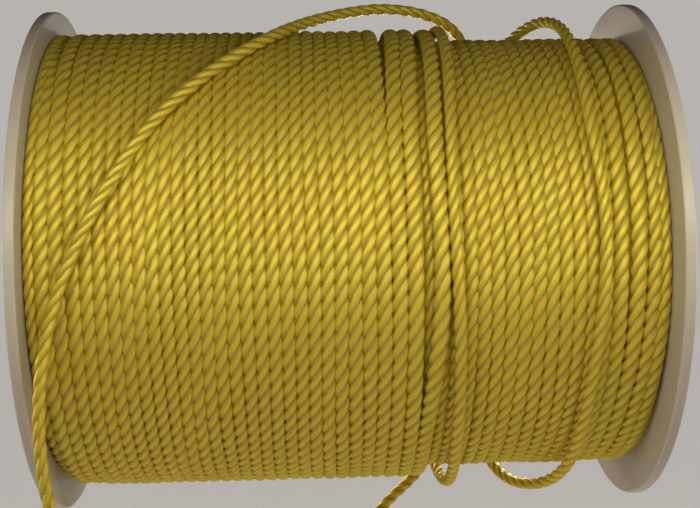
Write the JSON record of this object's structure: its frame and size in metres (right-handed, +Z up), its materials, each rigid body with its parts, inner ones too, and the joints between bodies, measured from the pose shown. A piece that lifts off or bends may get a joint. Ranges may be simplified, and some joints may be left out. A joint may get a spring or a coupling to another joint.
{
  "type": "cord spool",
  "caption": "White moulded spool with a thin disc flange at each end, wound with glossy yellow twisted cord whose loose end makes slack turns and hangs in a long bight",
  "frame": {"origin": "on the spool's axis, in the bore, halfway between the two flanges", "axes": "+X along the spool's axis towards the flange beside the lower layer, +Z up as the spool hangs in its rack, -Y towards the viewer"},
  "size_m": [0.1624, 0.14, 0.1849],
  "materials": {
    "flange_plastic": "satin, faintly translucent white",
    "barrel_plastic": "satin white",
    "cord": "glossy yellow twisted synthetic fibre"
  },
  "bodies": {
    "root": {"left_flange": "flange_plastic", "right_flange": "flange_plastic", "core_tube": "barrel_plastic", "wound_core": "cord", "top_layer_turns": "cord", "lower_layer_turns": "cord", "first_loose_turn": "cord", "second_loose_turn": "cord", "slack_cord": "cord"}
  },
  "joints": []
}
